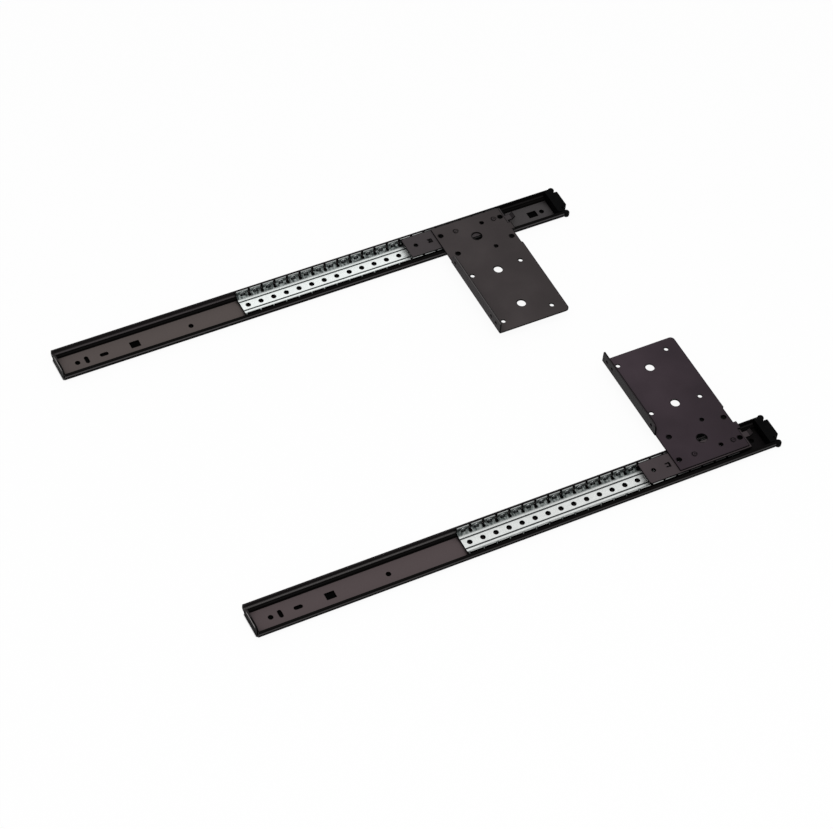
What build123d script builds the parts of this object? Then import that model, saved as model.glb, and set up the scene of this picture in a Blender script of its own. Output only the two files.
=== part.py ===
from build123d import *
import os

# Pair of pocket-door slides, an upper and a lower one, mirror images of each other.
# Both lie on their screw faces. X runs along the channels to the cabinet front, Z points off the side panel.
# One slide is drawn with its channel on the X axis and its carrier plate towards +Y, then placed twice.

# Layout of the pair
slide_spacing = 319.0
slide_stagger = 38.0

# Cabinet channel
channel_length = 502.0
channel_width = 33.4
channel_sheet = 1.4
race_ledge = 3.4
riser_run = 1.0
race_bend = 1.6
lip_bend_limit = 1.2
web_bend = 0.8
tab_width = 25.0
tab_corner = 4.0

# Channel web holes, placed from the rear end of the channel or, with an inset, from its front end
screw_hole = 4.5
rear_screw_at = 18.5
middle_screw_at = 128.0
front_screw_inset = 14.5
cross_slot_at = 27.4
long_slot_at = 43.9
slot_length = 8.0
slot_width = 3.6
rear_window_at = 73.6
front_window_inset = 24.3
window_length = 9.0
window_width = 7.0

# Balls and ball retainer
ball_diameter = 4.0
ball_height = 6.4
ball_gap = 0.3
race_clear = 0.5
lip_clear = 0.4
ball_pitch = 12.7
ball_count = 21
pocket_clear = 0.25
retainer_sheet = 0.8
retainer_end = 6.5
retainer_float = 2.6
foot_run = 4.6
knee_rise = 1.2
tab_cover = 2.15
tab_slot = 1.9
keyhole = 2.8
keyhole_inset = 3.0
retainer_hole = 5.0
rib_offset = 5.3
rib_width = 1.0
rib_depth = 0.4
lip_gap = 1.2

# Inner rail
rail_length = 103.2
rail_sheet = 1.2
rail_gap = 0.5
plate_clear = 1.3
shoulder_drop = 0.5
shoulder_rise = 0.6
rail_float = 1.1
rail_corner = 2.5
rail_hole = 4.0
rail_hole_at = 9.7
lance_at = 24.2
lance_length = 4.4
lance_slot = 0.9
tongue_reach = 7.0
tongue_width = 6.4
tongue_side = 2.2
tongue_lip = 2.3

# Carrier plate: X from its rear edge, Y from the channel's centreline, insets from its front or far edge
plate_sheet = 1.6
rail_reach = 2.0
plate_width = 71.8
plate_near = -10.8
plate_far = 126.5
plate_step = 1.2
step_at = 35.0
plate_corner = 4.0
plate_edge = 0.25
side_tab_at = 13.6
side_tab_length = 8.0
side_tab_reach = 3.0
flange_start = 33.0
flange_height = 13.0
flange_step = 1.5
flange_corner = 6.0
flange_bend = 0.6
flange_hole = 3.5
flange_hole_insets = (7.5, 16.5, 86.5)

# Carrier plate holes
door_hole = 4.2
door_hole_rear = 8.8
door_hole_pitch = 50.0
door_hole_inset = 11.0
door_hole_rows = 60.0
hinge_hole = 8.4
hinge_hole_at = 34.4
hinge_hole_inset = 24.0
hinge_hole_rows = 45.0
access_hole = 10.0
access_at = 35.9
access_side = 13.1
over_rail_hole = 5.0
rear_rail_hole_at = 4.9
front_rail_hole_inset = 3.4
gauge_hole = 4.0
gauge_hole_at = 47.8
nut_row = 25.8
rear_nut_at = 9.6
front_nut_inset = 4.8
small_nut_row = 31.2
small_nut_at = 46.5
plate_nut_hole = 5.0

# Rivets, clinch nuts and the rail's buffer
rivet_shank = 3.6
rivet_fit = 0.05
rivet_head = 6.0
rivet_head_height = 0.9
rivet_dimple = 1.6
rivet_dimple_depth = 0.3
rivet_groove = 5.2
rivet_groove_depth = 0.4
rear_rivet_at = 20.7
front_rivet_inset = 10.2
nut_diameter = 7.0
nut_height = 4.0
nut_bore = 3.4
cushion_length = 9.0
cushion_nose = 1.5
cushion_height = 4.6
cushion_fit = 0.15

# Front stop
stop_depth = 5.0
stop_plate = 2.9
stop_fit = 0.3
stop_height = 0.8
stop_nose_width = 19.0
stop_nose_round = 1.2
lobe_diameter = 6.0
lobe_height = 5.4
lobe_low = 3.6
lobe_round = 1.2
lobe_inset = 1.5

# Rest places: gap from each rail's tongue to the front stop, and from the retainer's rear end to the rail's
stop_gaps = {"upper": 42.4, "lower": 10.9}
retainer_trails = {"upper": 166.5, "lower": 177.2}

# Heights and half widths that follow from the sizes above
ball_radius = ball_diameter / 2
race_side = channel_width / 2 - channel_sheet
ball_side = race_side - ball_gap - ball_radius
ledge_height = ball_height - ball_radius - race_clear
lip_height = ball_height + ball_radius + lip_clear
channel_top = lip_height + channel_sheet
wall_outside = ball_side + retainer_sheet / 2
lip_side = wall_outside + lip_gap
riser_top_side = race_side - race_ledge
web_side = riser_top_side - riser_run
retainer_base = channel_sheet + retainer_float
pocket_radius = ball_radius + pocket_clear
wall_top = ball_height + pocket_radius + tab_cover
retainer_length = 2 * retainer_end + (ball_count - 1) * ball_pitch
rail_top = channel_top + plate_clear
rail_side = ball_side - retainer_sheet / 2 - rail_gap
groove_side = ball_side - ball_radius - ball_gap
rail_bottom = retainer_base + retainer_sheet + rail_float
plate_top = rail_top + plate_sheet
total_length = channel_length + lobe_diameter
narrow_width = plate_width - plate_step
plate_at = rail_length - rail_reach - narrow_width
over_rail_holes_at = (rear_rail_hole_at, narrow_width - front_rail_hole_inset)
nut_holes_at = (rear_nut_at, narrow_width - front_nut_inset)
rivets_at = (rear_rivet_at, narrow_width - front_rivet_inset)
door_rows_at = (plate_far - door_hole_inset - door_hole_rows, plate_far - door_hole_inset)
hinge_rows_at = (plate_far - hinge_hole_inset - hinge_hole_rows, plate_far - hinge_hole_inset)
web_screws_at = (rear_screw_at, middle_screw_at, channel_length - front_screw_inset)
web_windows_at = (rear_window_at, channel_length - front_window_inset)


def mirrored_path(half_points):
    left = [(-across, up) for across, up in reversed(half_points)]
    return left + half_points


def bent_sheet(points, radii, sheet, length):
    with BuildPart() as body:
        with BuildSketch(Plane.YZ):
            with BuildLine():
                FilletPolyline(*points, radius=radii)
                offset(amount=sheet, side=Side.RIGHT)
            make_face()
        extrude(amount=length)
    return body.part


def drill(diameter, at, across, low, high):
    post = Cylinder(diameter / 2, high - low, align=(Align.CENTER, Align.CENTER, Align.MIN))
    return Pos(at, across, low) * post


def block(start, end, across_low, across_high, low, high):
    size = Box(end - start, across_high - across_low, high - low, align=(Align.MIN, Align.MIN, Align.MIN))
    return Pos(start, across_low, low) * size


def cross_rod(diameter, at, height, across_low, across_high):
    rod = Cylinder(diameter / 2, across_high - across_low, align=(Align.CENTER, Align.CENTER, Align.MIN))
    return Pos(at, across_low, height) * Rot(-90, 0, 0) * rod


def slot_cut(at, length, width, turned, low, high):
    angle = 90 if turned else 0
    outline = Pos(at, 0, low) * Rot(0, 0, angle) * SlotOverall(length, width)
    return extrude(outline, amount=high - low)


def cabinet_channel():
    lip_bend = min(lip_bend_limit, 0.8 * (race_side - lip_side))
    riser_bend = channel_sheet + 0.4
    half = [
        (web_side, channel_sheet),
        (riser_top_side, ledge_height),
        (race_side, ledge_height),
        (race_side, lip_height),
        (lip_side, lip_height),
    ]
    half_radii = [web_bend, riser_bend, race_bend, lip_bend]
    radii = list(reversed(half_radii)) + half_radii
    channel = bent_sheet(mirrored_path(half), radii, channel_sheet, channel_length)
    stop_tab = block(0, channel_sheet, -tab_width / 2, tab_width / 2, 0, channel_top)
    top_corners = stop_tab.edges().filter_by(Axis.X).group_by(Axis.Z)[-1]
    channel += fillet(top_corners, tab_corner)
    floor = -1.0
    ceiling = channel_sheet + 1.0
    cuts = [drill(screw_hole, at, 0, floor, ceiling) for at in web_screws_at]
    cuts.append(slot_cut(cross_slot_at, slot_length, slot_width, True, floor, ceiling))
    cuts.append(slot_cut(long_slot_at, slot_length, slot_width, False, floor, ceiling))
    for at in web_windows_at:
        start = at - window_length / 2
        cuts.append(block(start, start + window_length, -window_width / 2, window_width / 2, floor, ceiling))
    return channel - cuts


def front_stop():
    inside = lip_side - stop_fit
    half = [
        (web_side - web_bend, channel_sheet),
        (riser_top_side - channel_sheet / 2, ledge_height + stop_fit),
        (inside, ledge_height + stop_fit),
        (inside, channel_top + stop_height),
    ]
    with BuildPart() as body:
        with BuildSketch(Plane.YZ.offset(channel_length - stop_depth)):
            Polygon(*mirrored_path(half), align=None)
        extrude(amount=stop_depth)
    lobe_side = channel_width / 2 - lobe_inset
    half_nose = stop_nose_width / 2
    nose_top = channel_top + stop_height
    back_end = channel_length + stop_plate
    back = block(channel_length, back_end, -lobe_side, lobe_side, lobe_low, lobe_low + lobe_height)
    nose = block(channel_length, total_length, -half_nose, half_nose, channel_sheet, nose_top)
    nose = fillet(nose.edges().filter_by(Axis.Z).group_by(Axis.X)[-1], stop_nose_round)
    stop = body.part + back + nose
    for side in (-1, 1):
        lobe = Cylinder(lobe_diameter / 2, lobe_height, align=(Align.CENTER, Align.CENTER, Align.MIN))
        lobe = fillet(lobe.edges().filter_by(GeomType.CIRCLE), lobe_round)
        stop += Pos(channel_length + lobe_diameter / 2, side * lobe_side, lobe_low) * lobe
    return stop


def ball_places():
    return [retainer_end + index * ball_pitch for index in range(ball_count)]


def ball_retainer():
    half = [
        (wall_outside - foot_run, retainer_base),
        (wall_outside, retainer_base + knee_rise),
        (wall_outside, wall_top),
    ]
    bend = retainer_sheet + 0.6
    points = list(reversed(mirrored_path(half)))
    strip = bent_sheet(points, [bend] * 4, -retainer_sheet, retainer_length)
    inner = wall_outside - foot_run / 2
    outer = wall_outside + retainer_sheet
    slot_foot = wall_outside - keyhole_inset
    web_top = retainer_base + retainer_sheet
    cuts = []
    for at in ball_places():
        cuts.append(drill(retainer_hole, at, 0, 0, ball_height))
        cuts.append(cross_rod(2 * pocket_radius, at, ball_height, inner, outer))
        cuts.append(cross_rod(2 * pocket_radius, at, ball_height, -outer, -inner))
    for at in [place + ball_pitch / 2 for place in ball_places()[:-1]]:
        for low, high, foot in ((slot_foot, outer, slot_foot), (-outer, -slot_foot, -slot_foot)):
            cuts.append(drill(keyhole, at, foot, 0, ball_height))
            cuts.append(block(at - tab_slot / 2, at + tab_slot / 2, low, high, 0, wall_top + 1))
    for across in (-rib_offset, rib_offset):
        low = across - rib_width / 2
        cuts.append(block(0, retainer_length, low, low + rib_width, web_top - rib_depth, web_top + 1))
    return strip - cuts


def ball_row(side):
    return Compound([Pos(at, side * ball_side, ball_height) * Sphere(ball_radius) for at in ball_places()])


def inner_rail():
    shoulder_low = ball_height + ball_radius - shoulder_drop
    shoulder_high = ball_height + ball_radius + shoulder_rise
    half = [
        (rail_side, rail_top),
        (rail_side, shoulder_high),
        (groove_side, shoulder_low),
        (groove_side, rail_bottom),
    ]
    bend = rail_sheet + 0.2
    half_radii = [bend, bend, rail_sheet]
    radii = list(reversed(half_radii)) + half_radii
    rail = bent_sheet(mirrored_path(half), radii, rail_sheet, rail_length)
    low = rail_top - rail_sheet - 1
    high = rail_top + 1
    cuts = [drill(rail_hole, rail_hole_at, 0, low, high)]
    cuts += [drill(over_rail_hole, plate_at + at, 0, low, high) for at in over_rail_holes_at]
    cuts.append(drill(gauge_hole, plate_at + gauge_hole_at, 0, low, high))
    cuts += [drill(rivet_shank + 2 * rivet_fit, plate_at + at, 0, low, high) for at in rivets_at]
    lance_start = lance_at - lance_length / 2
    lance_end = lance_at + lance_length / 2
    lance_side = lance_length / 2
    kept_side = lance_side - lance_slot
    lance = block(lance_start, lance_end, -lance_side, lance_side, low, high)
    lance -= block(lance_start, lance_end - lance_slot, -kept_side, kept_side, low, high)
    cuts.append(lance)
    for side in (-1, 1):
        corner = block(0, rail_corner, rail_side - rail_corner, rail_side + 1, 0, high)
        corner -= drill(2 * rail_corner, rail_corner, rail_side - rail_corner, 0, high)
        cuts.append(corner if side > 0 else mirror(corner, about=Plane.XZ))
    rail -= cuts
    tongue_low = tongue_side - tongue_width / 2
    tongue_high = tongue_side + tongue_width / 2
    bend_at = rail_length + tongue_reach - tongue_lip
    web_bottom = rail_top - rail_sheet
    rail += block(rail_length, bend_at + 0.7 * rail_sheet, tongue_low, tongue_high, web_bottom, rail_top)
    lip = Box(tongue_lip * 2**0.5, tongue_width, rail_sheet, align=(Align.MIN, Align.CENTER, Align.MAX))
    return rail + Pos(bend_at, tongue_side, rail_top) * Rot(0, -45, 0) * lip


def rail_cushion():
    inside = groove_side - rail_sheet - cushion_fit
    web_bottom = rail_top - rail_sheet
    end = rail_length + cushion_nose
    start = end - cushion_length
    buffer = block(start, end, -inside, inside, web_bottom - cushion_height, web_bottom)
    nose = buffer.edges().filter_by(Axis.Z).group_by(Axis.X)[-1]
    return fillet(nose, cushion_nose)


def carrier_plate():
    rear_edge = plate_at
    front_edge = plate_at + plate_width
    narrow_edge = plate_at + narrow_width
    outline = [
        (rear_edge, plate_near),
        (narrow_edge, plate_near),
        (narrow_edge, side_tab_at - side_tab_length / 2),
        (narrow_edge + side_tab_reach, side_tab_at - side_tab_length / 2),
        (narrow_edge + side_tab_reach, side_tab_at + side_tab_length / 2),
        (narrow_edge, side_tab_at + side_tab_length / 2),
        (narrow_edge, step_at),
        (front_edge, step_at + plate_step),
        (front_edge, plate_far),
        (rear_edge, plate_far),
    ]
    with BuildPart() as body:
        with BuildSketch(Plane.XY.offset(rail_top)) as sketch:
            Polygon(*outline, align=None)
            fillet(sketch.vertices().group_by(Axis.Y)[-1].sort_by(Axis.X)[-1], plate_corner)
        extrude(amount=plate_sheet)
        chamfer(body.faces().sort_by(Axis.Z)[-1].edges(), plate_edge)
    seam = rear_edge + plate_sheet + flange_bend
    flange_foot = rear_edge - flange_step
    flange_top = rail_top + flange_height
    with BuildPart() as flange:
        with BuildSketch(Plane.XZ.offset(-flange_start)):
            with BuildLine():
                FilletPolyline(
                    (seam, rail_top),
                    (flange_foot, rail_top),
                    (flange_foot, flange_top),
                    radius=plate_sheet + flange_bend,
                )
                offset(amount=plate_sheet, side=Side.RIGHT)
            make_face()
        extrude(amount=flange_start - plate_far)
        top = flange.faces().sort_by(Axis.Z)[-1]
        fillet(top.edges().filter_by(Axis.X).sort_by(Axis.Y)[0], flange_corner)
    cut_low = rail_top - 1
    cut_high = plate_top + 1
    slab = block(rear_edge - 1, seam, flange_start, plate_far + 1, cut_low, cut_high)
    plate = body.part - slab + flange.part
    cuts = []
    for at in (door_hole_rear, door_hole_rear + door_hole_pitch):
        for across in door_rows_at:
            cuts.append(drill(door_hole, plate_at + at, across, cut_low, cut_high))
    for across in hinge_rows_at:
        cuts.append(drill(hinge_hole, plate_at + hinge_hole_at, across, cut_low, cut_high))
    cuts.append(drill(access_hole, plate_at + access_at, access_side, cut_low, cut_high))
    cuts += [drill(over_rail_hole, plate_at + at, 0, cut_low, cut_high) for at in over_rail_holes_at]
    cuts.append(drill(gauge_hole, plate_at + gauge_hole_at, 0, cut_low, cut_high))
    cuts += [drill(plate_nut_hole, plate_at + at, nut_row, cut_low, cut_high) for at in nut_holes_at]
    cuts.append(drill(gauge_hole, plate_at + small_nut_at, small_nut_row, cut_low, cut_high))
    for at in rivets_at:
        cuts.append(drill(rivet_shank + 2 * rivet_fit, plate_at + at, 0, cut_low, cut_high))
        cuts.append(drill(rivet_groove, plate_at + at, 0, plate_top - rivet_groove_depth, cut_high))
    hole_height = (plate_top + flange_top) / 2
    for inset in flange_hole_insets:
        rod = Cylinder(flange_hole / 2, 4 * plate_sheet)
        cuts.append(Pos(flange_foot, plate_far - inset, hole_height) * Rot(0, 90, 0) * rod)
    return plate - cuts


def plate_rivets():
    web_bottom = rail_top - rail_sheet
    dimple_low = plate_top - rivet_dimple_depth
    rivets = []
    for at in rivets_at:
        rivet = drill(rivet_shank, plate_at + at, 0, web_bottom, plate_top)
        rivet += drill(rivet_head, plate_at + at, 0, web_bottom - rivet_head_height, web_bottom)
        rivets.append(rivet - drill(rivet_dimple, plate_at + at, 0, dimple_low, plate_top))
    return Compound(rivets)


def clinch_nuts():
    places = [(at, nut_row) for at in nut_holes_at] + [(small_nut_at, small_nut_row)]
    nuts = []
    for at, across in places:
        nut = drill(nut_diameter, plate_at + at, across, rail_top - nut_height, rail_top)
        nuts.append(nut - drill(nut_bore, plate_at + at, across, rail_top - nut_height, rail_top))
    return Compound(nuts)


def place(shape, slide, along):
    if slide == "upper":
        start = -(total_length + slide_stagger) / 2
        return Pos(start + along, slide_spacing / 2, 0) * mirror(shape, about=Plane.XZ)
    start = -(total_length - slide_stagger) / 2
    return Pos(start + along, -slide_spacing / 2, 0) * shape


pieces = {
    "cabinet_channel": (cabinet_channel(), "cabinet"),
    "front_stop": (front_stop(), "cabinet"),
    "ball_retainer": (ball_retainer(), "retainer"),
    "plate_side_balls": (ball_row(1), "retainer"),
    "edge_side_balls": (ball_row(-1), "retainer"),
    "inner_rail": (inner_rail(), "carriage"),
    "rail_cushion": (rail_cushion(), "carriage"),
    "carrier_plate": (carrier_plate(), "carriage"),
    "plate_rivets": (plate_rivets(), "carriage"),
    "clinch_nuts": (clinch_nuts(), "carriage"),
}

os.makedirs("parts", exist_ok=True)
for slide in ("upper", "lower"):
    carriage_at = channel_length - stop_depth - stop_gaps[slide] - tongue_reach - rail_length
    along = {"cabinet": 0.0, "retainer": carriage_at - retainer_trails[slide], "carriage": carriage_at}
    for name, (shape, body) in pieces.items():
        export_step(place(shape, slide, along[body]), f"parts/{slide}_{name}.step")
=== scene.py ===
import bpy
import math
from mathutils import Matrix, Vector


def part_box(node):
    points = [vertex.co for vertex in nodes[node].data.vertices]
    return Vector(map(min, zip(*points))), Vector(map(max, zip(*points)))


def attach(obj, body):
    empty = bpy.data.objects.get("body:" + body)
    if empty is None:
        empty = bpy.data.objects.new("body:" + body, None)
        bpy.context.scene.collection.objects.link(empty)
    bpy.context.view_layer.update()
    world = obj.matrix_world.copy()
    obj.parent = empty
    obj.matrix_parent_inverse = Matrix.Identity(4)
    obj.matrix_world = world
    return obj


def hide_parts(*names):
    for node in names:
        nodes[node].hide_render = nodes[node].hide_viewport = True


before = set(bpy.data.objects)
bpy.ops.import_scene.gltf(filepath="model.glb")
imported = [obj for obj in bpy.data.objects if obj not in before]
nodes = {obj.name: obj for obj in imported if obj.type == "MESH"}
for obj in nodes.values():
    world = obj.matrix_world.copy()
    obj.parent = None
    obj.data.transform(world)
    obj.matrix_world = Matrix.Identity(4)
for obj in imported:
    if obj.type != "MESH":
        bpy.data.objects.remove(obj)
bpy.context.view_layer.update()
slides = ("upper", "lower")
channelBoxes = {slide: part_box(f"{slide}_cabinet_channel") for slide in slides}
print("loaded", len(nodes), "nodes")


# node helpers: a value may be a socket to link or a plain number or colour
def feed(tree, socket, value):
    if isinstance(value, bpy.types.NodeSocket):
        tree.links.new(value, socket)
    elif socket.type == "RGBA":
        socket.default_value = (*value, 1.0)
    else:
        socket.default_value = value


def setSockets(tree, node, values):
    for name, value in values.items():
        feed(tree, node.inputs[name], value)


def calc(tree, operation, first, second=0.0):
    node = tree.nodes.new("ShaderNodeMath")
    node.operation = operation
    feed(tree, node.inputs[0], first)
    feed(tree, node.inputs[1], second)
    return node.outputs[0]


def inverse(tree, mask):
    return calc(tree, "SUBTRACT", 1.0, mask)


def spread(tree, value, low, high, outLow=0.0, outHigh=1.0):
    node = tree.nodes.new("ShaderNodeMapRange")
    node.interpolation_type = "SMOOTHSTEP"
    for index, number in enumerate((value, low, high, outLow, outHigh)):
        feed(tree, node.inputs[index], number)
    return node.outputs[0]


def fall(tree, value, low, high):
    return spread(tree, value, low, high, 1.0, 0.0)


def band(tree, value, centre, half, soft):
    away = calc(tree, "ABSOLUTE", calc(tree, "SUBTRACT", value, centre))
    return fall(tree, away, half, half + soft)


def both(tree, *masks):
    result = masks[0]
    for mask in masks[1:]:
        result = calc(tree, "MULTIPLY", result, mask)
    return result


def mixColours(tree, factor, first, second):
    node = tree.nodes.new("ShaderNodeMix")
    node.data_type = "RGBA"
    for index, value in ((0, factor), (6, first), (7, second)):
        feed(tree, node.inputs[index], value)
    return node.outputs[2]


def noiseField(tree, place, scale, detail, stretch=(1, 1, 1)):
    mapping = tree.nodes.new("ShaderNodeMapping")
    setSockets(tree, mapping, {"Vector": place["point"], "Scale": stretch})
    noise = tree.nodes.new("ShaderNodeTexNoise")
    setSockets(tree, noise, {"Vector": mapping.outputs["Vector"], "Scale": scale, "Detail": detail})
    return noise.outputs["Fac"]


edgeSettings = {"samples": 6, "alike": (0.8, 0.99)}


# the normal rounded at edges, and a mask of where it is
def softEdge(tree, place, radius, settings=edgeSettings):
    node = tree.nodes.new("ShaderNodeBevel")
    node.samples = settings["samples"]
    setSockets(tree, node, {"Radius": radius})
    same = tree.nodes.new("ShaderNodeVectorMath")
    same.operation = "DOT_PRODUCT"
    tree.links.new(node.outputs["Normal"], same.inputs[0])
    tree.links.new(place["faceNormal"], same.inputs[1])
    return node.outputs["Normal"], fall(tree, same.outputs["Value"], *settings["alike"])


# 0 in closed corners and narrow gaps, 1 in the open
def openness(tree, reach, closed, clear, samples=8):
    node = tree.nodes.new("ShaderNodeAmbientOcclusion")
    node.samples = samples
    setSockets(tree, node, {"Distance": reach})
    return spread(tree, node.outputs["AO"], closed, clear)


def partOf(tree, vector, axis):
    node = tree.nodes.new("ShaderNodeSeparateXYZ")
    tree.links.new(vector, node.inputs[0])
    return node.outputs[axis]


def bumpFrom(tree, height, strength, distance, normal=None):
    bump = tree.nodes.new("ShaderNodeBump")
    setSockets(tree, bump, {"Strength": strength, "Distance": distance, "Height": height})
    if normal:
        tree.links.new(normal, bump.inputs["Normal"])
    return bump.outputs["Normal"]


placeSettings = {"faceUp": (0.55, 0.9), "faceAlong": (0.5, 0.8)}


# a material with its surface place on one slide: along from the channel's rear end,
# across from its centreline with the plate side negative, and up from the screw face
def newMaterial(name, slide, settings=placeSettings):
    material = bpy.data.materials.new(name)
    material.use_nodes = True
    tree = material.node_tree
    coords = tree.nodes.new("ShaderNodeTexCoord")
    parts = tree.nodes.new("ShaderNodeSeparateXYZ")
    tree.links.new(coords.outputs["Object"], parts.inputs[0])
    facing = tree.nodes.new("ShaderNodeSeparateXYZ")
    tree.links.new(coords.outputs["Normal"], facing.inputs[0])
    faceAlong = calc(tree, "ABSOLUTE", facing.outputs["X"])
    low, high = channelBoxes[slide]
    middle = (low.y + high.y) / 2
    side = calc(tree, "SUBTRACT", parts.outputs["Y"], middle)
    across = calc(tree, "MULTIPLY", side, 1.0 if middle > 0 else -1.0)
    place = {
        "point": coords.outputs["Object"],
        "along": calc(tree, "SUBTRACT", parts.outputs["X"], low.x),
        "across": across,
        "off": calc(tree, "ABSOLUTE", across),
        "side": side,
        "up": parts.outputs["Z"],
        "faceUp": spread(tree, facing.outputs["Z"], *settings["faceUp"]),
        "faceAlong": spread(tree, faceAlong, *settings["faceAlong"]),
        "faceNormal": tree.nodes.new("ShaderNodeNewGeometry").outputs["Normal"],
    }
    return material, tree, tree.nodes["Principled BSDF"], place


# shared end of paint and plastic: sheen from the cloud, fine bumps from the grain
def dress(tree, shader, settings, colour, cloud, grain, normal):
    setSockets(tree, shader, {
        "Base Color": colour,
        "Roughness": spread(tree, cloud, *settings["sheenLimits"], *settings["roughness"]),
        "Specular IOR Level": settings["specular"],
        "Normal": bumpFrom(tree, grain, settings["grainStrength"], settings["grainDepth"], normal),
    })


# coating of the cabinet channels, its light and shade painted in: brown lit web with painted
# shade towards the front stop, in corners and round holes; raceways and outer faces painted
# near black as shade, with a painted paler far wall and painted glints along the far bend,
# along each flank and on the rear tab; lighter along edges; upper and lower tones differ as painted
# light
channelFinish = {
    "upper": {
        "web": (0.102, 0.085, 0.081),
        "webFrontShade": (0.065, 0.060, 0.061),
        "bend": (0.068, 0.060, 0.062),
        "flankGlint": (0.066, 0.062, 0.064),
        "front": (0.40, 0.44),
    },
    # the lower channel's tones differ from the upper's as painted light and shade
    "lower": {
        "web": (0.090, 0.071, 0.073),
        "webFrontShade": (0.0060, 0.0052, 0.0056),
        "bend": (0.096, 0.090, 0.089),
        "flankGlint": (0.052, 0.049, 0.050),
        "front": (0.43, 0.47),
    },
    # near black tone: painted shade on the raceways, outer faces, corners and hole edges
    "raceShade": (0.0024, 0.0021, 0.0021),
    # painted light: the far race wall paler
    "farWallLight": (0.022, 0.0195, 0.020),
    # painted glint on the rear tab
    "tabGlint": (0.42, 0.40, 0.39),
    "edge": (0.02, 0.018, 0.018),
    "frontShare": 0.12,
    "webSide": (0.0105, 0.0111),
    "webTop": (0.002, 0.003),
    "wallUp": (0.0047, 0.0057),
    "wallSide": (0.0, 0.002),
    "bendSide": (0.0146, 0.0003, 0.0006),
    "bendUp": (0.0047, 0.0004, 0.0007),
    "outside": (0.0162, 0.0165),
    "flankLine": (0.0080, 0.0004, 0.0006),
    "tabEnd": (0.0002, 0.0006),
    "tabLine": (0.0082, 0.0003, 0.0005),
    "tabSide": (0.0070, 0.0095),
    "cornerShadeReach": 0.012,
    "unshaded": (0.30, 0.72),
    "holeShadeRadius": 0.0009,
    "edgeRadius": 0.0003,
    "edgeCloud": (0.45, 0.7, 0.0, 0.4),
    "cloud": (22.0, 4.0),
    "grain": (2200.0, 2.0),
    "grainStrength": 0.25,
    "grainDepth": 0.00002,
    "sheenLimits": (0.3, 0.7),
    "roughness": (0.42, 0.56),
    "specular": 0.02,
}


def channelCoat(slide, settings):
    material, tree, shader, place = newMaterial(f"{slide}ChannelCoat", slide)
    up, off, along = place["up"], place["off"], place["along"]
    tones = settings[slide]
    cloud = noiseField(tree, place, *settings["cloud"])
    grain = noiseField(tree, place, *settings["grain"])
    front = spread(tree, along, *tones["front"])
    # painted shade: the web darker towards the front stop
    web = mixColours(tree, front, tones["web"], tones["webFrontShade"])
    # painted shade round the edges of holes and slots in the web
    holeEdgeShade = softEdge(tree, place, settings["holeShadeRadius"])[1]
    # painted shade: raceway tone in the web's corners and narrow gaps
    unshaded = openness(tree, settings["cornerShadeReach"], *settings["unshaded"])
    web = mixColours(tree, both(tree, unshaded, inverse(tree, holeEdgeShade)), settings["raceShade"], web)
    # the painted paler far wall and the bend glint fade out towards the front
    rear = spread(tree, front, 0.0, 1.0, 1.0, settings["frontShare"])
    wall = both(
        tree,
        spread(tree, up, *settings["wallUp"]),
        spread(tree, place["side"], *settings["wallSide"]),
        rear,
    )
    colour = mixColours(tree, wall, settings["raceShade"], settings["farWallLight"])
    # painted glint along the far ledge bend
    bend = both(
        tree,
        band(tree, off, *settings["bendSide"]),
        band(tree, up, *settings["bendUp"]),
        rear,
    )
    colour = mixColours(tree, bend, colour, tones["bend"])
    # outer faces painted near black as shade
    outside = spread(tree, off, *settings["outside"])
    colour = mixColours(tree, outside, colour, settings["raceShade"])
    # painted glint line along the outer flank
    flankGlint = both(tree, outside, band(tree, up, *settings["flankLine"]))
    colour = mixColours(tree, flankGlint, colour, tones["flankGlint"])
    # the up-facing web takes its lit brown tone over the painted raceway tones
    onWeb = both(
        tree,
        fall(tree, off, *settings["webSide"]),
        fall(tree, up, *settings["webTop"]),
        place["faceUp"],
    )
    colour = mixColours(tree, onWeb, colour, web)
    # painted glint on the rear tab's outer face
    tab = both(
        tree,
        fall(tree, along, *settings["tabEnd"]),
        band(tree, up, *settings["tabLine"]),
        fall(tree, off, *settings["tabSide"]),
    )
    colour = mixColours(tree, tab, colour, settings["tabGlint"])
    # lighter along edges, in patches
    edgeNormal, edge = softEdge(tree, place, settings["edgeRadius"])
    lighterEdge = both(tree, edge, spread(tree, cloud, *settings["edgeCloud"]), inverse(tree, onWeb))
    colour = mixColours(tree, lighterEdge, colour, settings["edge"])
    dress(tree, shader, settings, colour, cloud, grain, edgeNormal)
    return material


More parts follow.
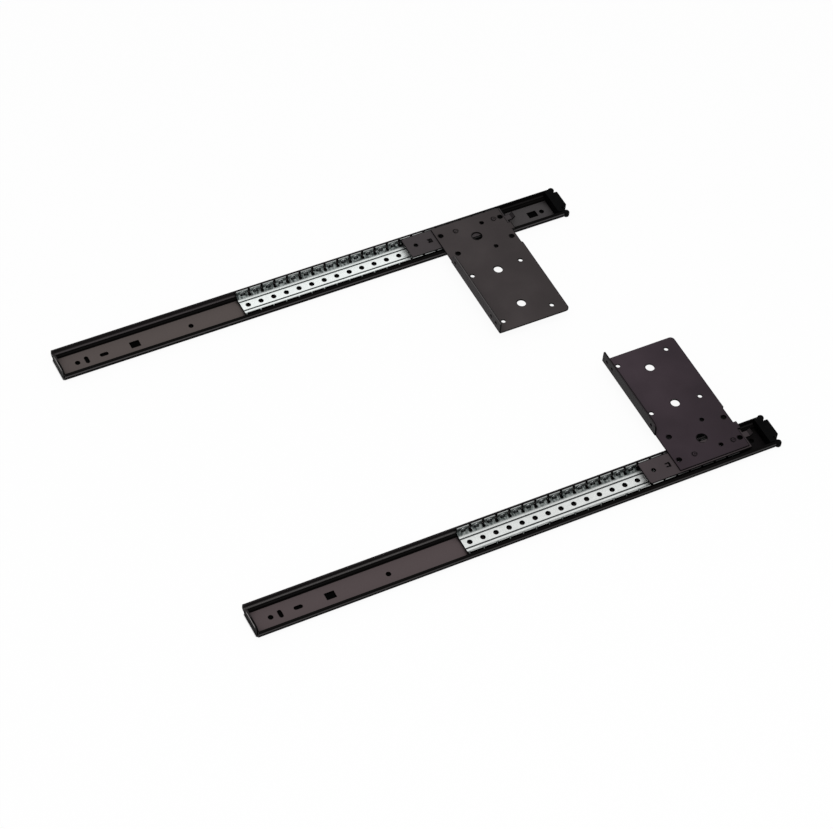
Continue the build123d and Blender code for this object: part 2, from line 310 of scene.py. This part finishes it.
# satin coating of rails, carrier plates, rivets and nuts, its light and shade painted in:
# up-facing faces show grey-brown with a painted light falloff; other faces, cut edges, narrow
# corners and the pressed part of the rail's lanced tab are painted near black as shade;
# a painted glint on the flange top and painted shade on its outer face; upper and lower
# tones differ as painted light
carriageFinish = {
    "upper": {
        "plate": (0.0486, 0.0416, 0.0421),
        "rail": (0.0505, 0.0440, 0.0460),
        "nut": (0.0040, 0.0035, 0.0037),
        "flangeGlint": (0.080, 0.075, 0.076),
        "flangeSideShade": (0.036, 0.032, 0.033),
        "lance": (0.3682, 0.0011, 0.0013),
        "lightFalloff": {"along": (0.375, 0.455, 1.12, 0.96)},
    },
    # the lower carriage's tones differ from the upper's as painted light and shade
    "lower": {
        "plate": (0.0361, 0.0268, 0.0325),
        "rail": (0.0560, 0.0455, 0.0485),
        "nut": (0.0036, 0.0030, 0.0033),
        "flangeGlint": (0.022, 0.018, 0.020),
        "flangeSideShade": (0.030, 0.028, 0.029),
        "lance": (0.4014, 0.0006, 0.0026),
        "lightFalloff": {
            "across": (-0.105, -0.015, 1.20, 0.92),
            "along": (0.405, 0.480, 1.17, 0.88),
        },
    },
    # painted shade: near black on faces that do not face up, on edges, corners and the lance
    "sideShade": (0.0025, 0.0022, 0.0023),
    "edge": (0.060, 0.052, 0.053),
    "flangeTop": (0.0238, 0.0240),
    "flangeFoot": (0.0136, 0.0142),
    "lanceSoft": 0.0004,
    "cornerShadeReach": 0.006,
    "unshaded": (0.30, 0.70),
    "darkEdge": {"plate": 0.0014, "rail": 0.0014, "nut": 0.0010},
    "frontEdge": (0.02, 0.10),
    "edgeRadius": 0.0003,
    "edgeCloud": (0.5, 0.7, 0.0, 0.4),
    "cloud": (26.0, 4.0),
    "cloudShare": 0.10,
    "cloudLimits": (0.3, 0.7),
    "grain": (2000.0, 2.0),
    "grainStrength": 0.25,
    "grainDepth": 0.00003,
    "sheenLimits": (0.25, 0.75),
    "roughness": (0.40, 0.52),
    "specular": 0.03,
}


def carriageCoat(slide, kind, settings):
    material, tree, shader, place = newMaterial(f"{slide}{kind.capitalize()}Coat", slide)
    tones = settings[slide]
    cloud = noiseField(tree, place, *settings["cloud"])
    grain = noiseField(tree, place, *settings["grain"])
    share = settings["cloudShare"]
    paler = tuple(value * (1 + share) for value in tones[kind])
    deeper = tuple(value * (1 - share) for value in tones[kind])
    flat = mixColours(tree, spread(tree, cloud, *settings["cloudLimits"]), deeper, paler)
    # painted light falloff along and across the plate
    lightFalloff = [spread(tree, place[way], *limits) for way, limits in tones["lightFalloff"].items()]
    fade = tree.nodes.new("ShaderNodeVectorMath")
    fade.operation = "SCALE"
    tree.links.new(flat, fade.inputs[0])
    tree.links.new(both(tree, *lightFalloff), fade.inputs["Scale"])
    # painted glint on the flange's top edge
    flangeTop = spread(tree, place["up"], *settings["flangeTop"])
    flat = mixColours(tree, flangeTop, fade.outputs[0], tones["flangeGlint"])
    bevel, dark = softEdge(tree, place, settings["darkEdge"][kind])
    # painted shade: the plate is dark only at edges that face the front, rails and nuts at all
    # edges
    if kind == "plate":
        dark = spread(tree, partOf(tree, bevel, "X"), *settings["frontEdge"])
    # painted shade in narrow corners and gaps
    unshaded = openness(tree, settings["cornerShadeReach"], *settings["unshaded"])
    # faces that do not face up are painted near black as shade
    clear = both(tree, place["faceUp"], unshaded, inverse(tree, dark))
    if kind == "rail":
        lanceAt, halfAlong, halfAcross = tones["lance"]
        soft = settings["lanceSoft"]
        # painted shadow in the lanced tab
        lanceShadow = both(
            tree,
            band(tree, place["along"], lanceAt, halfAlong, soft),
            band(tree, place["off"], 0.0, halfAcross, soft),
        )
        clear = both(tree, clear, inverse(tree, lanceShadow))
    colour = mixColours(tree, clear, settings["sideShade"], flat)
    # painted shade tone on the flange's outer face
    aboveFoot = spread(tree, place["up"], *settings["flangeFoot"])
    flangeSideShade = both(tree, place["faceAlong"], aboveFoot)
    colour = mixColours(tree, flangeSideShade, colour, tones["flangeSideShade"])
    # lighter along edges on the lit faces, in patches
    edgeNormal, edge = softEdge(tree, place, settings["edgeRadius"])
    lighterEdge = both(tree, edge, clear, spread(tree, cloud, *settings["edgeCloud"]))
    colour = mixColours(tree, lighterEdge, colour, settings["edge"])
    dress(tree, shader, settings, colour, cloud, grain, edgeNormal)
    return material


# zinc of the retainer strips, its light and shade painted in: bright speckled web with painted
# shade in two grooves, ball walls painted dark and mottled as shade and dark reflection with
# painted highlights on their tops, rims painted dark as shade where the rail covers them at
# rest, near-black painted shade on faces that face along or outward, hole walls, slot edges
# and narrow corners; upper and lower tones differ as painted light
zincFinish = {
    "upper": {
        "web": (0.86, 0.89, 0.88),
        "webDull": (0.78, 0.815, 0.80),
        "grooveShade": (0.10, 0.112, 0.108),
        "wallReflectionPale": (0.26, 0.285, 0.28),
        "rimFade": (0.355, 0.385),
    },
    # the lower strip is painted duller than the upper as light and shade
    "lower": {
        "web": (0.68, 0.695, 0.685),
        "webDull": (0.60, 0.615, 0.605),
        "grooveShade": (0.075, 0.08, 0.08),
        "wallReflectionPale": (0.19, 0.205, 0.20),
        "rimFade": (0.380, 0.412),
    },
    "wallReflectionDark": (0.035, 0.042, 0.041),
    "wallTopGlint": (0.34, 0.36, 0.355),
    # painted shade, near black
    "zincShade": (0.008, 0.008, 0.008),
    "rim": (0.36, 0.37, 0.365),
    "rimShade": (0.03, 0.03, 0.03),
    "grooveSide": (0.0053, 0.0007, 0.0002),
    "knee": (0.0072, 0.0092),
    "wallTopUp": (0.0093, 0.0101),
    "rimUp": (0.0106, 0.0107),
    "holeSide": (0.004, 0.0045),
    "outside": (0.0131, 0.0133),
    "slotEdge": 0.0010,
    "slotLimits": (0.06, 0.25),
    "cornerShadeReach": 0.006,
    "unshaded": (0.05, 0.30, 16),
    "speckle": (900.0, 3.0),
    "speckleLimits": (0.35, 0.65),
    "mottle": (520.0, 3.0, (1, 0.5, 1)),
    "mottleLimits": (0.35, 0.68),
    "streak": (260.0, 4.0, (0.06, 1, 1)),
    "streakStrength": 0.1,
    "streakDepth": 0.00002,
    "sheenLimits": (0.3, 0.7),
    "roughness": (0.44, 0.58),
}


def zincPlating(slide, settings):
    material, tree, shader, place = newMaterial(f"{slide}RetainerZinc", slide)
    up, off = place["up"], place["off"]
    tones = settings[slide]
    speckle = noiseField(tree, place, *settings["speckle"])
    streak = noiseField(tree, place, *settings["streak"])
    mottle = noiseField(tree, place, *settings["mottle"])
    dull = spread(tree, speckle, *settings["speckleLimits"])
    web = mixColours(tree, dull, tones["webDull"], tones["web"])
    # painted shade in the two grooves
    grooveShade = band(tree, off, *settings["grooveSide"])
    web = mixColours(tree, grooveShade, web, tones["grooveShade"])
    # ball walls painted dark and mottled as shade and dark reflection
    pale = spread(tree, mottle, *settings["mottleLimits"])
    wall = mixColours(tree, pale, settings["wallReflectionDark"], tones["wallReflectionPale"])
    # painted highlight on the wall tops
    wallTopGlint = spread(tree, up, *settings["wallTopUp"])
    wall = mixColours(tree, wallTopGlint, wall, settings["wallTopGlint"])
    knee = spread(tree, off, *settings["knee"])
    colour = mixColours(tree, knee, web, wall)
    # rims painted dark as shade where the rail covers them at rest
    covered = spread(tree, place["along"], *tones["rimFade"])
    rim = mixColours(tree, covered, settings["rim"], settings["rimShade"])
    colour = mixColours(tree, spread(tree, up, *settings["rimUp"]), colour, rim)
    # faces that face along or outward, hole walls, slot edges and narrow corners are painted near
    # black as shade
    inHole = fall(tree, off, *settings["holeSide"])
    holeWall = both(tree, inHole, inverse(tree, place["faceUp"]))
    outside = spread(tree, off, *settings["outside"])
    bevel = softEdge(tree, place, settings["slotEdge"])[0]
    slotTurn = calc(tree, "ABSOLUTE", partOf(tree, bevel, "X"))
    slotEdge = both(tree, spread(tree, slotTurn, *settings["slotLimits"]), knee)
    dark = place["faceAlong"]
    for mask in (holeWall, outside, slotEdge):
        dark = calc(tree, "MAXIMUM", dark, mask)
    # painted shade: near black in narrow corners and under the rail
    unshaded = openness(tree, settings["cornerShadeReach"], *settings["unshaded"])
    clear = both(tree, inverse(tree, dark), unshaded)
    colour = mixColours(tree, clear, settings["zincShade"], colour)
    setSockets(tree, shader, {
        "Base Color": colour,
        "Metallic": 1.0,
        "Roughness": spread(tree, streak, *settings["sheenLimits"], *settings["roughness"]),
        "Normal": bumpFrom(tree, streak, settings["streakStrength"], settings["streakDepth"]),
    })
    return material


# steel of the balls painted dark as shade in their pockets, and the rolled zinc rims of their
# pockets
shadedBallFinish = {
    "light": (0.060, 0.064, 0.066),
    "dark": (0.028, 0.030, 0.031),
    "roughness": (0.30, 0.40),
}
rimFinish = {
    "light": (0.62, 0.65, 0.64),
    "dark": (0.40, 0.43, 0.42),
    "roughness": (0.30, 0.42),
}
filmSettings = {"noise": (700.0, 2.0), "limits": (0.3, 0.7), "strength": 0.1, "depth": 0.00002}


def filmedMetal(name, slide, settings, film=filmSettings):
    material, tree, shader, place = newMaterial(f"{slide}{name}", slide)
    noise = noiseField(tree, place, *film["noise"])
    thin = spread(tree, noise, *film["limits"])
    setSockets(tree, shader, {
        "Base Color": mixColours(tree, thin, settings["dark"], settings["light"]),
        "Metallic": 1.0,
        "Roughness": spread(tree, noise, *film["limits"], *settings["roughness"]),
        "Normal": bumpFrom(tree, noise, film["strength"], film["depth"]),
    })
    return material


# black plastic of front stops and rail buffers
plasticFinish = {
    "light": (0.0020, 0.0020, 0.0021),
    "dark": (0.0009, 0.0009, 0.0010),
    "edgeRadius": 0.0004,
    "cloud": (120.0, 3.0),
    "cloudLimits": (0.3, 0.7),
    "grain": (1500.0, 2.0),
    "grainStrength": 0.3,
    "grainDepth": 0.00004,
    "sheenLimits": (0.3, 0.7),
    "roughness": (0.42, 0.58),
    "specular": 0.02,
}


def mouldedPlastic(slide, settings):
    material, tree, shader, place = newMaterial(f"{slide}BlackPlastic", slide)
    cloud = noiseField(tree, place, *settings["cloud"])
    grain = noiseField(tree, place, *settings["grain"])
    edgeNormal = softEdge(tree, place, settings["edgeRadius"])[0]
    pale = spread(tree, cloud, *settings["cloudLimits"])
    colour = mixColours(tree, pale, settings["dark"], settings["light"])
    dress(tree, shader, settings, colour, cloud, grain, edgeNormal)
    return material


finishes = {}
for slide in slides:
    plate = carriageCoat(slide, "plate", carriageFinish)
    plastic = mouldedPlastic(slide, plasticFinish)
    balls = filmedMetal("BallSteelShaded", slide, shadedBallFinish)
    finishes[slide] = {
        "cabinet_channel": channelCoat(slide, channelFinish),
        "front_stop": plastic,
        "ball_retainer": zincPlating(slide, zincFinish),
        "plate_side_balls": balls,
        "edge_side_balls": balls,
        "inner_rail": carriageCoat(slide, "rail", carriageFinish),
        "rail_cushion": plastic,
        "carrier_plate": plate,
        "plate_rivets": plate,
        "clinch_nuts": carriageCoat(slide, "nut", carriageFinish),
    }
    for piece, material in finishes[slide].items():
        mesh = nodes[f"{slide}_{piece}"].data
        mesh.materials.clear()
        mesh.materials.append(material)
    finishes[slide]["pocket_rims"] = filmedMetal("RimZinc", slide, rimFinish)
print("finishes set")


# geometry node helpers: a tree's inputs are socket types by name
def newTree(name, inputs):
    tree = bpy.data.node_groups.new(name, "GeometryNodeTree")
    for label, kind in inputs.items():
        tree.interface.new_socket(label, in_out="INPUT", socket_type=kind)
    tree.interface.new_socket("Geometry", in_out="OUTPUT", socket_type="NodeSocketGeometry")
    return tree, tree.nodes.new("NodeGroupInput"), tree.nodes.new("NodeGroupOutput")


# copies of a shape along the row, made real, smooth and with their finish
def copyAlongRow(tree, given, result, shape, turn=(0, 0, 0)):
    line = tree.nodes.new("GeometryNodeMeshLine")
    line.mode = "OFFSET"
    for label, socket in (("Count", "Count"), ("First", "Start Location"), ("Step", "Offset")):
        tree.links.new(given.outputs[label], line.inputs[socket])
    copies = tree.nodes.new("GeometryNodeInstanceOnPoints")
    copies.inputs["Rotation"].default_value = turn
    tree.links.new(line.outputs["Mesh"], copies.inputs["Points"])
    tree.links.new(shape, copies.inputs["Instance"])
    realize = tree.nodes.new("GeometryNodeRealizeInstances")
    smooth = tree.nodes.new("GeometryNodeSetShadeSmooth")
    finish = tree.nodes.new("GeometryNodeSetMaterial")
    tree.links.new(copies.outputs["Instances"], realize.inputs["Geometry"])
    tree.links.new(realize.outputs["Geometry"], smooth.inputs["Geometry"])
    tree.links.new(smooth.outputs["Geometry"], finish.inputs["Geometry"])
    tree.links.new(given.outputs["Finish"], finish.inputs["Material"])
    tree.links.new(finish.outputs["Geometry"], result.inputs["Geometry"])


def grow(name, tree, values):
    holder = bpy.data.objects.new(f"{name}Source", bpy.data.meshes.new(f"{name}Source"))
    bpy.context.scene.collection.objects.link(holder)
    modifier = holder.modifiers.new("shape", "NODES")
    modifier.node_group = tree
    for item in tree.interface.items_tree:
        if item.in_out == "INPUT":
            modifier[item.identifier] = values[item.name]
    bpy.context.view_layer.update()
    made = holder.evaluated_get(bpy.context.evaluated_depsgraph_get())
    mesh = bpy.data.meshes.new_from_object(made)
    mesh.name = name
    bpy.data.objects.remove(holder)
    piece = bpy.data.objects.new(name, mesh)
    bpy.context.scene.collection.objects.link(piece)
    return piece


# rows of balls and the rolled rims of their pockets, one mesh per row
ballRows = {
    "count": 21,
    "subdivisions": 3,
    "rimRadius": 0.00250,
    "rimSides": 20,
    "rimInset": 0.00042,
    "wireRadius": 0.00024,
    "wireSides": 6,
}
rowInputs = {
    "Count": "NodeSocketInt",
    "First": "NodeSocketVector",
    "Step": "NodeSocketVector",
    "Radius": "NodeSocketFloat",
    "Finish": "NodeSocketMaterial",
}


def ballRowTree():
    tree, given, result = newTree("ballRow", {**rowInputs, "Subdivisions": "NodeSocketInt"})
    ball = tree.nodes.new("GeometryNodeMeshIcoSphere")
    for label in ("Radius", "Subdivisions"):
        tree.links.new(given.outputs[label], ball.inputs[label])
    copyAlongRow(tree, given, result, ball.outputs["Mesh"])
    return tree


def pocketRimTree():
    tree, given, result = newTree("pocketRims", {
        **rowInputs,
        "Sides": "NodeSocketInt",
        "Wire Radius": "NodeSocketFloat",
        "Wire Sides": "NodeSocketInt",
    })
    rim = tree.nodes.new("GeometryNodeCurveToMesh")
    for kind, socket in (("", "Curve"), ("Wire ", "Profile Curve")):
        ring = tree.nodes.new("GeometryNodeCurvePrimitiveCircle")
        tree.links.new(given.outputs[f"{kind}Radius"], ring.inputs["Radius"])
        tree.links.new(given.outputs[f"{kind}Sides"], ring.inputs["Resolution"])
        tree.links.new(ring.outputs["Curve"], rim.inputs[socket])
    copyAlongRow(tree, given, result, rim.outputs["Mesh"], (math.pi / 2, 0, 0))
    return tree


ballTree = ballRowTree()
rimTree = pocketRimTree()


def makeBallRow(slide, side, settings):
    node = f"{slide}_{side}_side_balls"
    low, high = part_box(node)
    radius = (high.z - low.z) / 2
    first = low + Vector((radius, radius, radius))
    step = (high.x - low.x - 2 * radius) / (settings["count"] - 1)
    row = {"Count": settings["count"], "First": first, "Step": Vector((step, 0, 0))}
    balls = grow(f"{slide}{side.capitalize()}SideBalls", ballTree, {
        **row,
        "Radius": radius,
        "Subdivisions": settings["subdivisions"],
        "Finish": finishes[slide][f"{side}_side_balls"],
    })
    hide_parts(node)
    channelLow, channelHigh = channelBoxes[slide]
    inward = 1.0 if first.y < (channelLow.y + channelHigh.y) / 2 else -1.0
    rims = grow(f"{slide}{side.capitalize()}SideRims", rimTree, {
        **row,
        "First": first + Vector((0, inward * settings["rimInset"], 0)),
        "Radius": settings["rimRadius"],
        "Sides": settings["rimSides"],
        "Wire Radius": settings["wireRadius"],
        "Wire Sides": settings["wireSides"],
        "Finish": finishes[slide]["pocket_rims"],
    })
    for piece in (balls, rims):
        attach(piece, f"{slide}_retainer")


for slide in slides:
    for side in ("plate", "edge"):
        makeBallRow(slide, side, ballRows)
print("ball rows made")


# floor, light and camera
stageSettings = {
    "floorSize": 6.0,
    "floorColour": (0.93, 0.93, 0.93),
    "floorShade": 0.06,
    "contactReach": 0.0015,
    "contactLimits": (0.45, 0.95),
    "contactLight": 0.02,
    "shadeColour": (0.004, 0.004, 0.004),
    "shadeLight": 0.0015,
    "webShadeHalf": 0.0092,
    "webShadeEnd": 0.002,
    "webShadeSoft": 0.0005,
    "holeSpot": (0.2147, -0.1380, 0.0),
    "holeSpotRadius": (0.0062, 0.0077),
    "coverReach": 0.030,
    "coverLimits": (0.39, 0.47, 20),
    "backdrop": 1.0,
    "fill": 0.50,
    "keyPower": 20.0,
    "keySize": (1.5, 1.1),
    "keyDistance": 1.9,
    "keyAzimuth": 196.0,
    "keyElevation": 72.0,
}


# camera, glossy and transmission rays all see the white studio
def seenRays(tree):
    rays = tree.nodes.new("ShaderNodeLightPath")
    seen = calc(tree, "MAXIMUM", rays.outputs["Is Camera Ray"], rays.outputs["Is Glossy Ray"])
    return calc(tree, "MAXIMUM", seen, rays.outputs["Is Transmission Ray"])


def mixShaders(tree, out, factor, first, second):
    mix = tree.nodes.new("ShaderNodeMixShader")
    feed(tree, mix.inputs[0], factor)
    tree.links.new(first.outputs[0], mix.inputs[1])
    tree.links.new(second.outputs[0], mix.inputs[2])
    tree.links.new(mix.outputs[0], out.inputs["Surface"])


# painted shadow on the floor under the channels' webs, which lie on it and let no light under
def underWebs(tree, settings):
    coords = tree.nodes.new("ShaderNodeTexCoord")
    parts = tree.nodes.new("ShaderNodeSeparateXYZ")
    tree.links.new(coords.outputs["Object"], parts.inputs[0])
    soft = settings["webShadeSoft"]
    shade = None
    for low, high in channelBoxes.values():
        middle = (low + high) / 2
        half = (high.x - low.x) / 2 - settings["webShadeEnd"]
        mask = both(
            tree,
            band(tree, parts.outputs["X"], middle.x, half, soft),
            band(tree, parts.outputs["Y"], middle.y, settings["webShadeHalf"], soft),
        )
        shade = calc(tree, "MAXIMUM", shade, mask) if shade else mask
    return shade


# and a painted shadow spot under the lower plate's access hole, as long as the plate is above it
def underAccessHole(tree, settings):
    coords = tree.nodes.new("ShaderNodeTexCoord")
    away = tree.nodes.new("ShaderNodeVectorMath")
    away.operation = "DISTANCE"
    feed(tree, away.inputs[0], coords.outputs["Object"])
    feed(tree, away.inputs[1], settings["holeSpot"])
    spot = fall(tree, away.outputs["Value"], *settings["holeSpotRadius"])
    bare = openness(tree, settings["coverReach"], *settings["coverLimits"])
    return both(tree, spot, inverse(tree, bare))


def makeFloor(settings):
    half = settings["floorSize"] / 2
    mesh = bpy.data.meshes.new("floor")
    corners = [(-half, -half, 0), (half, -half, 0), (half, half, 0), (-half, half, 0)]
    mesh.from_pydata(corners, [], [(0, 1, 2, 3)])
    floor = bpy.data.objects.new("floor", mesh)
    bpy.context.scene.collection.objects.link(floor)
    material = bpy.data.materials.new("floorWhite")
    material.use_nodes = True
    tree = material.node_tree
    tree.nodes.clear()
    out = tree.nodes.new("ShaderNodeOutputMaterial")
    shade = calc(tree, "MAXIMUM", underWebs(tree, settings), underAccessHole(tree, settings))
    diffuse = tree.nodes.new("ShaderNodeBsdfDiffuse")
    colour = mixColours(tree, shade, settings["floorColour"], settings["shadeColour"])
    feed(tree, diffuse.inputs["Color"], colour)
    white = tree.nodes.new("ShaderNodeEmission")
    # painted contact shadow: the white floor darkens close to the object
    contact = openness(tree, settings["contactReach"], *settings["contactLimits"])
    light = both(
        tree,
        spread(tree, contact, 0.0, 1.0, settings["contactLight"], 1.0),
        spread(tree, shade, 0.0, 1.0, 1.0, settings["shadeLight"]),
    )
    feed(tree, white.inputs["Strength"], light)
    seen = calc(tree, "MULTIPLY", seenRays(tree), 1.0 - settings["floorShade"])
    mixShaders(tree, out, seen, diffuse, white)
    mesh.materials.append(material)


def makeWorld(settings):
    world = bpy.data.worlds.new("studio")
    bpy.context.scene.world = world
    world.use_nodes = True
    tree = world.node_tree
    tree.nodes.clear()
    out = tree.nodes.new("ShaderNodeOutputWorld")
    shaders = []
    for strength in (settings["fill"], settings["backdrop"]):
        shader = tree.nodes.new("ShaderNodeBackground")
        setSockets(tree, shader, {"Color": (1, 1, 1), "Strength": strength})
        shaders.append(shader)
    mixShaders(tree, out, seenRays(tree), *shaders)


def makeKey(settings):
    lamp = bpy.data.lights.new("softKey", "AREA")
    lamp.shape = "RECTANGLE"
    lamp.size, lamp.size_y = settings["keySize"]
    lamp.energy = settings["keyPower"]
    key = bpy.data.objects.new("softKey", lamp)
    bpy.context.scene.collection.objects.link(key)
    turn = math.radians(settings["keyAzimuth"])
    lift = math.radians(settings["keyElevation"])
    level = math.cos(lift)
    away = Vector((math.sin(turn) * level, math.cos(turn) * level, math.sin(lift)))
    key.location = away * settings["keyDistance"]
    key.rotation_euler = away.to_track_quat("Z", "Y").to_euler()


cameraSettings = {
    "elevation": 50.135,
    "heading": 32.064,
    "roll": 6.509,
    "focalPixels": 2921.3,
    "imageWidth": 833,
    "sensorWidth": 36.0,
    "clip": (0.01, 50.0),
    "originSeen": (-0.00101, -0.01064, 2.5815),
}


# originSeen is the frame's origin as the camera sees it: right, down and ahead
def makeCamera(settings):
    lift = math.radians(settings["elevation"])
    turn = math.radians(settings["heading"])
    roll = math.radians(settings["roll"])
    flat = math.cos(lift)
    ahead = Vector((math.sin(turn) * flat, math.cos(turn) * flat, -math.sin(lift)))
    level = Vector((math.cos(turn), -math.sin(turn), 0.0))
    down = ahead.cross(level)
    right = level * math.cos(roll) - down * math.sin(roll)
    down = level * math.sin(roll) + down * math.cos(roll)
    x, y, z = settings["originSeen"]
    data = bpy.data.cameras.new("photoCamera")
    data.sensor_fit = "HORIZONTAL"
    data.sensor_width = settings["sensorWidth"]
    data.lens = settings["focalPixels"] * data.sensor_width / settings["imageWidth"]
    data.clip_start, data.clip_end = settings["clip"]
    camera = bpy.data.objects.new("photoCamera", data)
    bpy.context.scene.collection.objects.link(camera)
    turned = Matrix((right, -down, -ahead)).transposed().to_4x4()
    camera.matrix_world = Matrix.Translation(-(right * x + down * y + ahead * z)) @ turned
    bpy.context.scene.camera = camera


makeFloor(stageSettings)
makeWorld(stageSettings)
makeKey(stageSettings)
makeCamera(cameraSettings)
bpy.context.scene.view_settings.view_transform = "Standard"
print("stage set")
